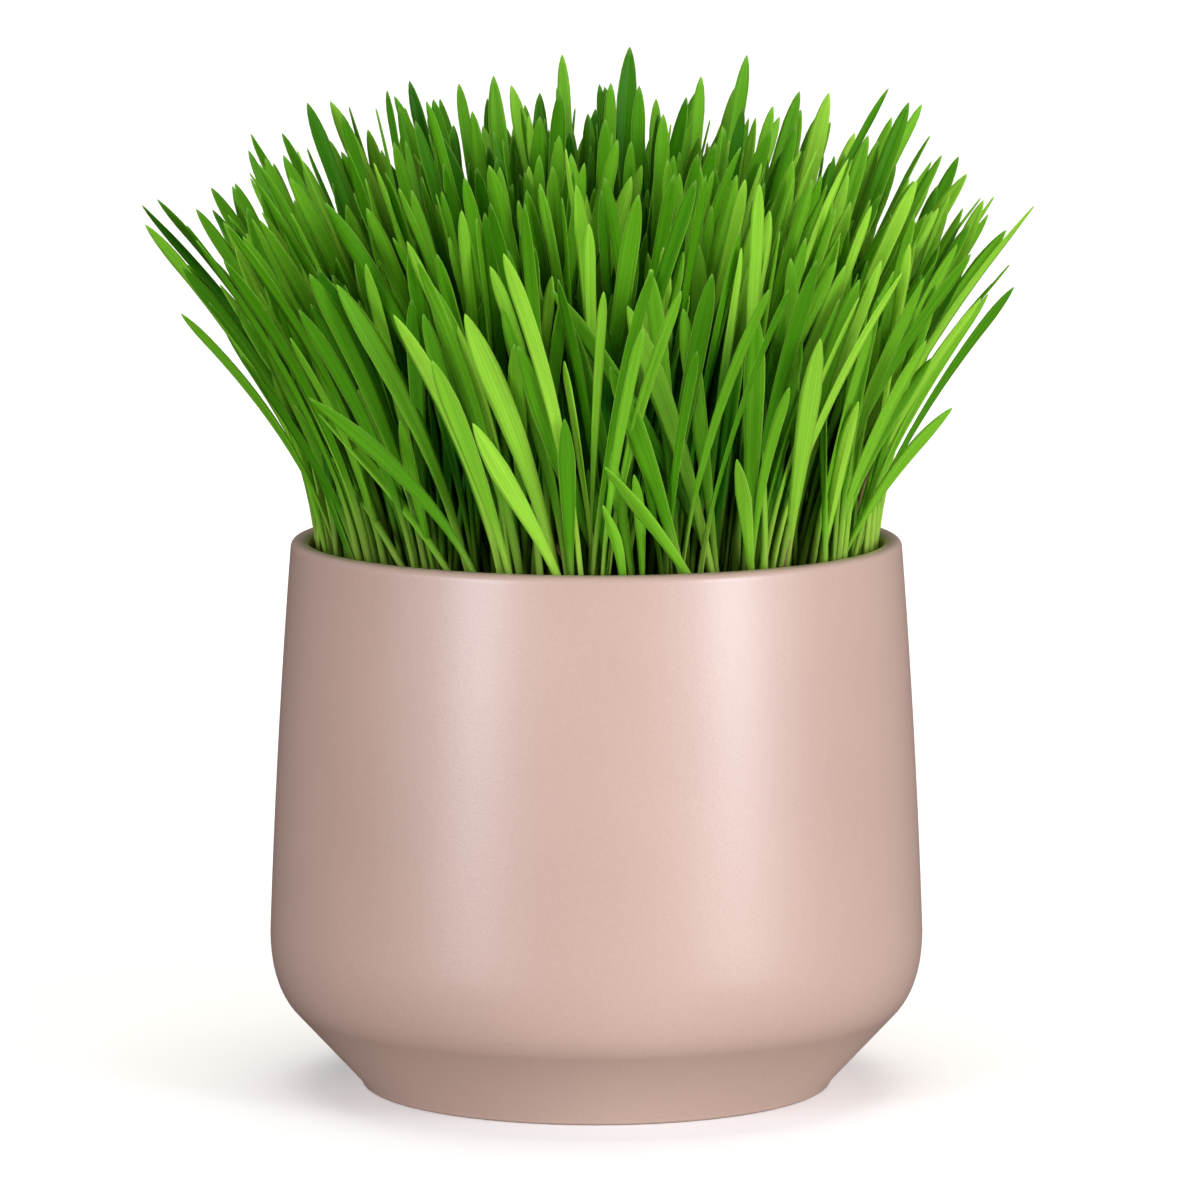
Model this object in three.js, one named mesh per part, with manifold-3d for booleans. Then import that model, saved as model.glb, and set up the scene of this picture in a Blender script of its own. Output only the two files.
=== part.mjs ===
// Cat grass growing in a round glazed pot.
// Millimetres, +Z up, origin at the centre of the pot's flat foot.

import * as THREE from "three";
import { mergeVertices } from "three/addons/utils/BufferGeometryUtils.js";
import Module from "manifold-3d";

const wasm = await Module();
wasm.setup();

// Pot: outside
const POT_HEIGHT = 127.1;
const FOOT_RADIUS = 54.6;
const FOOT_ROUNDING = 1.2;
const CONE_TOP_RADIUS = 70.2;
const CONE_TOP_Z = 18;
const BELLY_RADIUS = 75.6;
const BELLY_Z = 36;
const WALL_SWELL = 1.6;
const RIM_RADIUS = 70.5;
const LIP_ROUNDING = 2.1;
const POT_SIDES = 40;

// Pot: inside
const WALL = 4.4;
const FLOOR_THICKNESS = 6;
const INNER_FLOOR_RADIUS = 48;

// Soil and the holes that the root plugs stand in
const GAP = 0.3;
const SOIL_TOP = 116;
const PLUG_TOP_RADIUS = 7.8;
const PLUG_FOOT_RADIUS = 6.8;
const PLUG_DEPTH = 11;
const PLUG_PROUD = 0.4;
const PLUG_SIDES = 7;
const PLUG_FLAT_RADIUS = PLUG_TOP_RADIUS * Math.cos(Math.PI / PLUG_SIDES);
const PLUG_RING_STEP = 18;

// Grass
const SEED = 7;
const BLADES_BY_RING = [10, 11, 12, 15];
const SEAT_RADIUS = 5.4;
const ROOT_DEPTH = 4;
const ROOT_GATHER = 0.92;
const STEM_WIDTH = 1.9;
const STEM_DEPTH = 1.3;
const KEEL_DEPTH = 1.2;
const WIDTH_RANGE = [5.2, 7.4];
const BOW_RANGE = [0.15, 0.55];
const TALLEST = 112;
const SHORTER_TOWARDS_EDGE = 0.24;
const SPREAD = 0.5;
const SPREAD_POWER = 1.15;
const SPREAD_RADIUS = 60;
const SPREAD_STRAY = 0.35;
const STRAY = 0.36;
const SHORTEST_SHARE = 0.58;
const SHORT_WIDTH = 0.7;
const TURN_STRAY = 0.7;
const TWIST = 0.5;
const TRIES = 40;
const WIDEST_AT_RIM = 70;
const WIDEST_FLARE = 0.45;
const POT_AXIS = new THREE.Vector2(0, 0);
const LIP_CLEAR_Z = POT_HEIGHT + 2;
const LIP_INNER_RADIUS = RIM_RADIUS - WALL;
const LEVEL_STEP = 2.5;
const FREE_LEVELS = 1;
const NEAR = 16;
const SAME_TUFT_GAP = 0.05;
const OTHER_TUFT_GAP = 0.45;
const GOLDEN_ANGLE = Math.PI * (3 - Math.sqrt(5));

// Blades that are placed by hand
const SKYLINE_BOW = 0.3;
const SKYLINE_TURN = 0.9;
const FRONT_TURN = 0.3;
const CHOSEN_TWIST = 0.25;
const RETRY_BOW = 0.15;
const RETRY_TURN = 0.12;
const LEAN_BACK_STEPS = 40;

// Rings of a blade: shares of its height, and widths as shares of its full width. Straight ones need fewer.
const STRAIGHT_BOW = 0.35;
const BOWED_RINGS = [[0.34, 0.64], [0.66, 1.0], [0.87, 0.7]];
const STRAIGHT_RINGS = [[0.45, 0.78], [0.8, 0.92]];

// Blades whose tips make the skyline, from left to right: tip x, y, z and full width
const SKYLINE = [
  [-103, -5, 200, 6.2],
  [-94, -30, 182, 5.8],
  [-92, 2, 203, 6.0],
  [-89, 14, 207, 5.6],
  [-83, -12, 210, 5.8],
  [-81, 22, 215, 5.4],
  [-76, -2, 215, 5.0],
  [-71, -20, 217, 6.0],
  [-68, 16, 213, 5.2],
  [-66, 8, 227, 6.2],
  [-58, -14, 226, 6.4],
  [-53, 20, 220, 5.2],
  [-48, 6, 230, 5.4],
  [-43, 24, 231, 5.4],
  [-37, -10, 229, 5.8],
  [-32, 14, 231, 4.8],
  [-28, -20, 227, 5.6],
  [-23, -4, 234, 6.6],
  [-13, 12, 229, 5.8],
  [-8, 26, 237, 6.4],
  [3, -14, 233, 5.8],
  [7, 6, 240, 7.4],
  [14, 22, 227, 5.4],
  [24, -6, 234, 6.2],
  [35, 8, 238, 6.8],
  [40, -18, 228, 5.6],
  [47, 18, 229, 5.8],
  [53, -2, 230, 6.2],
  [57, -24, 213, 5.4],
  [62, -12, 221, 5.8],
  [72, 10, 227, 6.2],
  [76, 32, 225, 5.4],
  [79, -6, 216, 6.0],
  [84, 16, 214, 5.6],
  [85, -16, 201, 5.8],
  [94, 4, 198, 5.6],
  [96, -8, 186, 6.0],
  [87, -26, 185, 5.4],
  [81, -34, 161, 5.0],
];

// Blades that stand in front: foot x, y, tip x, y, z, full width and bow
const FRONT = [
  [-6, -57, -27, -85, 163, 6.6, 0.55],
  [-12, -54, -28, -84, 187, 6.8, 0.5],
  [-16, -57, -36, -86, 177, 6.2, 0.45],
  [-25, -50, -37, -80, 194, 6.4, 0.4],
  [22, -56, 2, -82, 153, 6.8, 0.5],
  [-5, -52, -7, -76, 163, 5.6, 0.3],
  [21, -50, 3, -80, 175, 6.2, 0.45],
  [25, -46, 7, -76, 188, 6.6, 0.4],
  [-10, -46, -18, -81, 180, 6.0, 0.4],
  [-36, -44, -62, -62, 195, 6.6, 0.35],
  [-30, -48, -57, -68, 192, 6.6, 0.35],
  [-41, -42, -66, -64, 186, 6.2, 0.4],
  [-22, -54, -40, -74, 189, 6.0, 0.3],
  [-26, -53, -64, -70, 167, 6.6, 0.3],
  [38, -45, 50, -68, 180, 6.0, 0.35],
  [30, -50, 36, -77, 186, 6.2, 0.35],
  [12, -54, 19, -79, 187, 6.2, 0.3],
  [33, -48, 31, -76, 154, 5.4, 0.3],
  [8, -50, 12, -74, 196, 6.4, 0.3],
  [45, -38, 59, -56, 192, 6.2, 0.35],
  [36, -47, 42, -76, 170, 5.6, 0.35],
];

function solidOf(geometry) {
  geometry.deleteAttribute("normal");
  geometry.deleteAttribute("uv");
  const merged = mergeVertices(geometry, 1e-4);
  const vertProperties = new Float32Array(merged.attributes.position.array);
  const triVerts = new Uint32Array(merged.index.array);
  return new wasm.Manifold(new wasm.Mesh({ numProp: 3, vertProperties, triVerts }));
}

function geometryOf(solid) {
  const mesh = solid.getMesh();
  const geometry = new THREE.BufferGeometry();
  geometry.setAttribute("position", new THREE.BufferAttribute(mesh.vertProperties, 3));
  geometry.setIndex(new THREE.BufferAttribute(mesh.triVerts, 1));
  geometry.computeVertexNormals();
  return geometry;
}

// A profile of radius and height, turned about the vertical axis
function turned(points, sides) {
  const geometry = new THREE.LatheGeometry(points, sides);
  geometry.rotateX(Math.PI / 2);
  return geometry;
}

// Outside of the pot: foot, cone, rounded belly, wall that narrows to the rim
function outerProfile() {
  const path = new THREE.Path();
  path.moveTo(0, 0);
  path.lineTo(FOOT_RADIUS - FOOT_ROUNDING, 0);
  path.quadraticCurveTo(FOOT_RADIUS, 0, FOOT_RADIUS, FOOT_ROUNDING);
  path.lineTo(CONE_TOP_RADIUS, CONE_TOP_Z);
  const coneSlope = (CONE_TOP_RADIUS - FOOT_RADIUS) / (CONE_TOP_Z - FOOT_ROUNDING);
  const cornerZ = CONE_TOP_Z + (BELLY_RADIUS - CONE_TOP_RADIUS) / coneSlope;
  path.quadraticCurveTo(BELLY_RADIUS, cornerZ, BELLY_RADIUS, BELLY_Z);
  const lipStart = POT_HEIGHT - LIP_ROUNDING;
  const wallMiddle = (BELLY_Z + lipStart) / 2;
  path.quadraticCurveTo(BELLY_RADIUS - WALL_SWELL, wallMiddle, RIM_RADIUS, lipStart);
  path.quadraticCurveTo(RIM_RADIUS, POT_HEIGHT, RIM_RADIUS - LIP_ROUNDING, POT_HEIGHT);
  return path.getPoints(4);
}

// Inside of the pot, from the lip down to the floor, set in by a margin for what fills it
function innerProfile(margin, top) {
  const path = new THREE.Path();
  const rim = RIM_RADIUS - WALL - margin;
  const belly = BELLY_RADIUS - WALL - margin;
  const floor = FLOOR_THICKNESS + margin;
  path.moveTo(rim, top);
  path.quadraticCurveTo(belly - WALL_SWELL, (BELLY_Z + POT_HEIGHT) / 2, belly, BELLY_Z);
  path.quadraticCurveTo(belly, CONE_TOP_Z + WALL, INNER_FLOOR_RADIUS - margin, floor);
  path.lineTo(0, floor);
  return path.getPoints(3);
}

function potGeometry() {
  const lipTop = new THREE.Path();
  lipTop.moveTo(LIP_INNER_RADIUS + LIP_ROUNDING, POT_HEIGHT);
  lipTop.quadraticCurveTo(LIP_INNER_RADIUS, POT_HEIGHT, LIP_INNER_RADIUS, POT_HEIGHT - LIP_ROUNDING);
  const inside = innerProfile(0, POT_HEIGHT - LIP_ROUNDING);
  const profile = [...outerProfile(), ...lipTop.getPoints(2), ...inside.slice(1)];
  return geometryOf(solidOf(turned(profile, POT_SIDES)));
}

// Places of the root plugs: one in the middle and rings of six, twelve and eighteen round it
function plantedPlugs() {
  const plugs = [{ centre: new THREE.Vector2(0, 0), blades: BLADES_BY_RING[0] }];
  for (let ring = 1; ring < BLADES_BY_RING.length; ring += 1) {
    const count = 6 * ring;
    for (let index = 0; index < count; index += 1) {
      const angle = (2 * Math.PI * (index + 0.5 * (ring % 2))) / count;
      const radius = ring * PLUG_RING_STEP;
      const centre = new THREE.Vector2(radius * Math.cos(angle), radius * Math.sin(angle));
      plugs.push({ centre, blades: BLADES_BY_RING[ring] });
    }
  }
  return plugs;
}

// A root plug, or with a margin the hole that it stands in
function plugSolid(centre, margin, top) {
  const floor = SOIL_TOP - PLUG_DEPTH - margin;
  const profile = [
    new THREE.Vector2(0, floor),
    new THREE.Vector2(PLUG_FOOT_RADIUS + margin, floor),
    new THREE.Vector2(PLUG_TOP_RADIUS + margin, top),
    new THREE.Vector2(0, top),
  ];
  const geometry = turned(profile, PLUG_SIDES);
  geometry.translate(centre.x, centre.y, 0);
  return solidOf(geometry);
}

function soilGeometry(plugs) {
  const wall = innerProfile(GAP, POT_HEIGHT).reverse();
  const below = wall.filter((point) => point.y < SOIL_TOP);
  const above = wall.find((point) => point.y >= SOIL_TOP);
  const last = below[below.length - 1];
  const share = (SOIL_TOP - last.y) / (above.y - last.y);
  const edge = new THREE.Vector2(last.x + share * (above.x - last.x), SOIL_TOP);
  const profile = [...below, edge, new THREE.Vector2(0, SOIL_TOP)];
  const holes = plugs.map((plug) => plugSolid(plug.centre, GAP, SOIL_TOP + 1));
  const solid = solidOf(turned(profile, POT_SIDES));
  return geometryOf(solid.subtract(wasm.Manifold.union(holes)));
}

// Seeded draws between 0 and 1
let drawState = SEED;
function draw() {
  drawState = (drawState * 1664525 + 1013904223) % 4294967296;
  return drawState / 4294967296;
}

function drawIn([low, high]) {
  return low + (high - low) * draw();
}

// Near zero most of the time, never past one
function drawAbout() {
  return (draw() + draw() + draw()) / 1.5 - 1;
}

// Middle of a blade at a share of its height: it leaves the soil steeply and bows over towards the tip
function middleAt(blade, share) {
  const bend = (1 - blade.bow) * share + blade.bow * share * share;
  const x = blade.foot.x + (blade.tip.x - blade.foot.x) * bend;
  const y = blade.foot.y + (blade.tip.y - blade.foot.y) * bend;
  const z = SOIL_TOP + (blade.tip.z - SOIL_TOP) * share;
  return { x, y, z };
}

// A level section of a blade: left edge, right edge and the keel behind them
function sectionCorners(centre, turn, width, depth) {
  const across = new THREE.Vector2(Math.cos(turn), Math.sin(turn));
  const behind = new THREE.Vector2(-across.y, across.x);
  return [
    [centre.x - (across.x * width) / 2, centre.y - (across.y * width) / 2],
    [centre.x + (across.x * width) / 2, centre.y + (across.y * width) / 2],
    [centre.x + behind.x * depth, centre.y + behind.y * depth],
  ];
}

// Rings of a blade from the root to just under the tip, each level in z
function ringsOf(blade) {
  const root = blade.plug.centre.clone().lerp(blade.foot, ROOT_GATHER);
  const rootZ = SOIL_TOP - ROOT_DEPTH;
  const rings = [{ z: rootZ, corners: sectionCorners(root, blade.turn, STEM_WIDTH, STEM_DEPTH) }];
  const steps = blade.bow < STRAIGHT_BOW ? STRAIGHT_RINGS : BOWED_RINGS;
  steps.forEach(([share, widthShare]) => {
    const centre = middleAt(blade, share);
    const turn = blade.turn + blade.twist * share;
    rings.push({ z: centre.z, corners: sectionCorners(centre, turn, blade.width * widthShare, KEEL_DEPTH) });
  });
  const tip = [blade.tip.x, blade.tip.y];
  rings.push({ z: blade.tip.z, corners: [tip, tip, tip] });
  return rings;
}

// The blade's section at each level from below the soil to its tip
function sectionsOf(rings) {
  const sections = [];
  let upper = 1;
  for (let level = 0; ; level += 1) {
    const z = SOIL_TOP - ROOT_DEPTH + level * LEVEL_STEP;
    while (upper < rings.length && rings[upper].z < z) {
      upper += 1;
    }
    if (upper === rings.length) {
      return sections;
    }
    const low = rings[upper - 1];
    const high = rings[upper];
    const share = (z - low.z) / (high.z - low.z);
    sections.push(low.corners.map((corner, index) => [
      corner[0] + share * (high.corners[index][0] - corner[0]),
      corner[1] + share * (high.corners[index][1] - corner[1]),
    ]));
  }
}

function reachAlong(section, nx, ny) {
  const reaches = section.map((corner) => corner[0] * nx + corner[1] * ny);
  return [Math.min(...reaches), Math.max(...reaches)];
}

// True when some side of one section has the other section wholly past it, by the gap
function sidesPart(one, other, gap) {
  for (let index = 0; index < 3; index += 1) {
    const [ax, ay] = one[index];
    const [bx, by] = one[(index + 1) % 3];
    const length = Math.hypot(bx - ax, by - ay);
    if (length > 1e-6) {
      const nx = (by - ay) / length;
      const ny = (ax - bx) / length;
      const [lowOne, highOne] = reachAlong(one, nx, ny);
      const [lowOther, highOther] = reachAlong(other, nx, ny);
      if (lowOther - highOne > gap || lowOne - highOther > gap) {
        return true;
      }
    }
  }
  return false;
}

function sectionsClear(one, other, firstLevel, gap) {
  const levels = Math.min(one.length, other.length);
  for (let level = firstLevel; level < levels; level += 1) {
    const [ax, ay] = one[level][0];
    const [bx, by] = other[level][0];
    const near = Math.hypot(ax - bx, ay - by) < NEAR;
    if (near && !sidesPart(one[level], other[level], gap) && !sidesPart(other[level], one[level], gap)) {
      return false;
    }
  }
  return true;
}

function reachFrom(section, centre) {
  return Math.max(...section.map((corner) => Math.hypot(corner[0] - centre.x, corner[1] - centre.y)));
}

// True when the blade stays in its plug's hole, clears the pot's lip and every blade that stands already
function hasRoom(blade, planted) {
  for (let level = 0; level < blade.sections.length; level += 1) {
    const z = SOIL_TOP - ROOT_DEPTH + level * LEVEL_STEP;
    if (z < SOIL_TOP + 1 && reachFrom(blade.sections[level], blade.plug.centre) > PLUG_FLAT_RADIUS) {
      return false;
    }
    if (z < LIP_CLEAR_Z && reachFrom(blade.sections[level], POT_AXIS) > LIP_INNER_RADIUS - 2 * GAP) {
      return false;
    }
  }
  return planted.every((other) => (other.plug === blade.plug
    ? sectionsClear(blade.sections, other.sections, FREE_LEVELS, SAME_TUFT_GAP)
    : sectionsClear(blade.sections, other.sections, 0, OTHER_TUFT_GAP)));
}

function finished(blade) {
  blade.rings = ringsOf(blade);
  blade.sections = sectionsOf(blade.rings);
  return blade;
}

// The outward lean that a foot at this distance from the middle has, per height
function spreadAt(radius) {
  return SPREAD * (radius / SPREAD_RADIUS) ** SPREAD_POWER;
}

// The foot of a blade whose tip is given, found by leaning it back into the pot
function footUnder(x, y, z) {
  const reach = Math.hypot(x, y);
  let radius = reach;
  for (let step = 0; step < LEAN_BACK_STEPS; step += 1) {
    radius = (radius + Math.max(reach - (z - SOIL_TOP) * spreadAt(radius), 0)) / 2;
  }
  const share = radius / reach;
  return new THREE.Vector2(x * share, y * share);
}

// Seats for the blades of each plug, spaced out on a spiral
function seatsOf(plugs) {
  const seats = [];
  plugs.forEach((plug, number) => {
    for (let index = 0; index < plug.blades; index += 1) {
      const radius = SEAT_RADIUS * Math.sqrt((index + 0.5) / plug.blades);
      const angle = index * GOLDEN_ANGLE + number;
      const x = plug.centre.x + radius * Math.cos(angle);
      const y = plug.centre.y + radius * Math.sin(angle);
      seats.push({ plug, index, place: new THREE.Vector2(x, y), taken: false });
    }
  });
  return seats;
}

function nearestFree(seats, place) {
  const free = seats.filter((seat) => !seat.taken);
  return free.reduce((best, seat) =>
    (seat.place.distanceTo(place) < best.place.distanceTo(place) ? seat : best));
}

// A chosen blade keeps its tip and takes small changes of turn and bow until it stands clear
function plantChosen(seats, planted, wanted) {
  const seat = nearestFree(seats, wanted.foot);
  for (let attempt = 0; attempt < TRIES; attempt += 1) {
    const blade = finished({
      plug: seat.plug,
      foot: seat.place,
      tip: wanted.tip,
      width: wanted.width,
      bow: attempt === 0 ? wanted.bow : wanted.bow + RETRY_BOW * drawAbout(),
      turn: wanted.turn + RETRY_TURN * attempt * drawAbout(),
      twist: CHOSEN_TWIST * drawAbout(),
    });
    if (hasRoom(blade, planted)) {
      seat.taken = true;
      planted.push(blade);
      return true;
    }
  }
  return false;
}

function plantSkyline(seats, planted, [x, y, z, width]) {
  const foot = footUnder(x, y, z);
  const tip = new THREE.Vector3(x, y, z);
  const turn = SKYLINE_TURN * drawAbout();
  return plantChosen(seats, planted, { foot, tip, width, bow: SKYLINE_BOW, turn });
}

function plantFront(seats, planted, [footX, footY, x, y, z, width, bow]) {
  const foot = new THREE.Vector2(footX, footY);
  const tip = new THREE.Vector3(x, y, z);
  const turn = FRONT_TURN * drawAbout();
  return plantChosen(seats, planted, { foot, tip, width, bow, turn });
}

// A blade that leans and grows as its place in the pot asks, with a little stray of its own
function drawnBlade(seat) {
  const distance = seat.place.length();
  const outward = distance === 0 ? new THREE.Vector2(0, 0) : seat.place.clone().divideScalar(distance);
  const edge = (distance / SPREAD_RADIUS) ** 2;
  const full = TALLEST * (1 - SHORTER_TOWARDS_EDGE * edge);
  const height = full * (SHORTEST_SHARE + (1 - SHORTEST_SHARE) * Math.sqrt(draw()));
  const lean = outward.multiplyScalar(spreadAt(distance) * (1 + SPREAD_STRAY * drawAbout()));
  lean.x += STRAY * drawAbout();
  lean.y += STRAY * drawAbout();
  const x = seat.place.x + height * lean.x;
  const y = seat.place.y + height * lean.y;
  const across = Math.atan2(lean.y, lean.x) + Math.PI / 2;
  return finished({
    plug: seat.plug,
    foot: seat.place,
    tip: new THREE.Vector3(x, y, SOIL_TOP + height),
    width: drawIn(WIDTH_RANGE) * (SHORT_WIDTH + (1 - SHORT_WIDTH) * (height / full)),
    bow: drawIn(BOW_RANGE),
    turn: across + TURN_STRAY * drawAbout(),
    twist: TWIST * drawAbout(),
  });
}

function plantSeat(seat, planted) {
  for (let attempt = 0; attempt < TRIES; attempt += 1) {
    const blade = drawnBlade(seat);
    const widest = WIDEST_AT_RIM + WIDEST_FLARE * (blade.tip.z - POT_HEIGHT);
    if (Math.hypot(blade.tip.x, blade.tip.y) < widest && hasRoom(blade, planted)) {
      seat.taken = true;
      planted.push(blade);
      return true;
    }
  }
  return false;
}

// Chosen blades first, then the other seats, plug by plug and round by round
function sown(plugs) {
  const seats = seatsOf(plugs);
  const planted = [];
  FRONT.forEach((row) => plantFront(seats, planted, row));
  SKYLINE.forEach((row) => plantSkyline(seats, planted, row));
  const rounds = Math.max(...BLADES_BY_RING);
  for (let round = 0; round < rounds; round += 1) {
    seats.filter((seat) => seat.index === round && !seat.taken).forEach((seat) => plantSeat(seat, planted));
  }
  return planted;
}

// A closed three-sided blade: left side, right side and back, shut at the root and the tip
function bladeSolid(blade) {
  const positions = [];
  const faces = [];
  const last = blade.rings.length - 1;
  blade.rings.slice(0, last).forEach((ring) => {
    ring.corners.forEach((corner) => positions.push(corner[0], corner[1], ring.z));
  });
  positions.push(blade.tip.x, blade.tip.y, blade.tip.z);
  faces.push(0, 2, 1);
  for (let ring = 0; ring < last - 1; ring += 1) {
    for (let side = 0; side < 3; side += 1) {
      const a = 3 * ring + side;
      const b = 3 * ring + ((side + 1) % 3);
      faces.push(a, b, b + 3, a, b + 3, a + 3);
    }
  }
  const top = 3 * (last - 1);
  for (let side = 0; side < 3; side += 1) {
    faces.push(top + side, top + ((side + 1) % 3), 3 * last);
  }
  const geometry = new THREE.BufferGeometry();
  geometry.setAttribute("position", new THREE.Float32BufferAttribute(positions, 3));
  geometry.setIndex(faces);
  return solidOf(geometry);
}

function tuftGeometry(plug, ownBlades) {
  const roots = plugSolid(plug.centre, 0, SOIL_TOP + PLUG_PROUD);
  return geometryOf(wasm.Manifold.union([roots, ...ownBlades.map(bladeSolid)]));
}

// Assembly
const potGlaze = new THREE.MeshStandardMaterial({ color: "#cdb1a5", roughness: 0.42, metalness: 0 });
const pottingSoil = new THREE.MeshStandardMaterial({ color: "#35261c", roughness: 0.95, metalness: 0 });
const GREENS = ["#4f9a2a", "#3f8a26", "#67ad34"];

function named(name, geometry, material) {
  const mesh = new THREE.Mesh(geometry, material);
  mesh.name = name;
  return mesh;
}

const pottedCatGrass = new THREE.Group();
const plugs = plantedPlugs();
const blades = sown(plugs);
pottedCatGrass.add(named("pot", potGeometry(), potGlaze));
pottedCatGrass.add(named("soil", soilGeometry(plugs), pottingSoil));
plugs.forEach((plug, index) => {
  const name = `grass_tuft_${String(index + 1).padStart(2, "0")}`;
  const color = GREENS[index % GREENS.length];
  const leaf = new THREE.MeshStandardMaterial({ color, roughness: 0.5, metalness: 0 });
  pottedCatGrass.add(named(name, tuftGeometry(plug, blades.filter((blade) => blade.plug === plug)), leaf));
});

export default pottedCatGrass;
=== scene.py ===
# %% [markdown]
# # Potted cat grass
# A pot of cereal sprouts for a cat: a round glazed pot, dark potting soil and a dense head of young leaves.
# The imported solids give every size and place. This lesson dresses them: a smooth pot with a satin glaze, a
# crumbly soil, and leaves that are folded, veined and lit through.

# %% Load the frame
import math

import bpy
import numpy as np
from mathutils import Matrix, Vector, noise


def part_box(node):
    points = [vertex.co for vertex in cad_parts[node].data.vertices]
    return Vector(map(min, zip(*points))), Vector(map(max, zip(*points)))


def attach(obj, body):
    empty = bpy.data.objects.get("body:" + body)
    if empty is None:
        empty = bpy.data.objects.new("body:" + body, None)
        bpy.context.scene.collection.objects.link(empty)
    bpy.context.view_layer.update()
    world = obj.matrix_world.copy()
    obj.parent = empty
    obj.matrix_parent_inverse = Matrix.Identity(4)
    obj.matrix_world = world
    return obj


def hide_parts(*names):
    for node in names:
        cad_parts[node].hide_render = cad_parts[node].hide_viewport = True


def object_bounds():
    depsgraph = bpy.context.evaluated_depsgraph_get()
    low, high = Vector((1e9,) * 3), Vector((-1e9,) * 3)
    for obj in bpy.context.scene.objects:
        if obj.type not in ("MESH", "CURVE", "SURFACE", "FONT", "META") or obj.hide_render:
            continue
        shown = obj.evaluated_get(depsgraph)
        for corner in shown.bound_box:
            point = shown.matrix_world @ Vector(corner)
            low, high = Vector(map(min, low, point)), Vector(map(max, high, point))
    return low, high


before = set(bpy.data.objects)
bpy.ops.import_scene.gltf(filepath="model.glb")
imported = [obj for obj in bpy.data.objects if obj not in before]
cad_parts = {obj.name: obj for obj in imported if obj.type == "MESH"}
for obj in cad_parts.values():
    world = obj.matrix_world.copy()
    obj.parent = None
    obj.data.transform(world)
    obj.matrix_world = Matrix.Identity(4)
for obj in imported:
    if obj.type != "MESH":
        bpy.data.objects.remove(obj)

cad_low, cad_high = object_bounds()
print("solids loaded:", len(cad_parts), "box", list(cad_low), list(cad_high))

# %% [markdown]
# ## Small helpers
# Sizes are written in millimetres and turned to metres in one place. Colours are written as they look on a
# screen and turned to linear light, which is what shaders count in. One function adds a shader node with
# its settings and links, so every material reads as a list of what its surface does.

# %% Units and colours
MM = 0.001


def linear(code):
    """A screen colour such as "#cfb2a6" as linear light."""
    parts = [int(code[i:i + 2], 16) / 255 for i in (1, 3, 5)]
    return [p / 12.92 if p <= 0.04045 else ((p + 0.055) / 1.055) ** 2.4 for p in parts] + [1.0]


def per_mm(size_mm):
    """The scale of a pattern on object coordinates whose features are this many millimetres wide."""
    return 1 / (size_mm * MM)


def on_circle(radius, angle):
    """A place at a radius and an angle about the axis."""
    return radius * np.array([math.cos(angle), math.sin(angle)])


# %% A node with its settings and links
def add_node(tree, kind, settings=(), **inputs):
    """Adds a shader node. Settings are its own properties; inputs are values, or sockets to link from."""
    node = tree.nodes.new("ShaderNode" + kind)
    for name, value in dict(settings).items():
        setattr(node, name, value)
    for name, value in inputs.items():
        key = int(name[1:]) if name[1:].isdigit() else name.replace("_", " ")
        socket = node.inputs[key]
        if isinstance(value, bpy.types.NodeSocket):
            tree.links.new(value, socket)
        else:
            socket.default_value = value
    return node


def new_material(name):
    """An empty material and its node tree."""
    material = bpy.data.materials.new(name)
    material.use_nodes = True
    material.node_tree.nodes.clear()
    return material, material.node_tree


def surfaced(material, shader):
    """The material with a shader for its surface."""
    add_node(material.node_tree, "OutputMaterial", Surface=shader.outputs[0])
    return material


def ramp(tree, factor, stops):
    """A colour ramp between stops of a place and a screen colour."""
    node = add_node(tree, "ValToRGB", _0=factor)
    elements = node.color_ramp.elements
    elements[0].position, elements[0].color = stops[0][0], linear(stops[0][1])
    elements[1].position, elements[1].color = stops[-1][0], linear(stops[-1][1])
    for place, code in stops[1:-1]:
        elements.new(place).color = linear(code)
    return node.outputs["Color"]


# %% Finishing a piece
def start_clean():
    """Leaves edit mode and deselects everything, so that the next operator meets only its own piece."""
    if bpy.context.object and bpy.context.object.mode == "EDIT":
        bpy.ops.object.mode_set(mode="OBJECT")
    bpy.ops.object.select_all(action="DESELECT")


def finish_piece(piece, name, slot, *nodes):
    """Names a piece, rides it on the standing body and hides the solids it stands for."""
    piece.name = name
    piece.data.name = name
    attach(piece, "root")
    if nodes:
        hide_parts(*nodes)
    triangles = sum(len(face.vertices) - 2 for face in piece.data.polygons)
    print(f"{name}: {triangles} triangles")
    return piece


# %% [markdown]
# ## The glaze
# The pot is stoneware cast in a mould, dipped in a dusty rose satin glaze and fired. A satin glaze is glass
# filled with tiny crystals: it has a broad soft shine, fine grain inside the highlights, and hardly any
# mirror image. So the roughness is middling, a fine bump breaks the shine up, and the colour drifts a
# little where the glaze ran thinner. The real crystals are far finer than a tenth of a millimetre. They are
# drawn about half a millimetre wide, because smaller ones would melt together at this distance.

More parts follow.
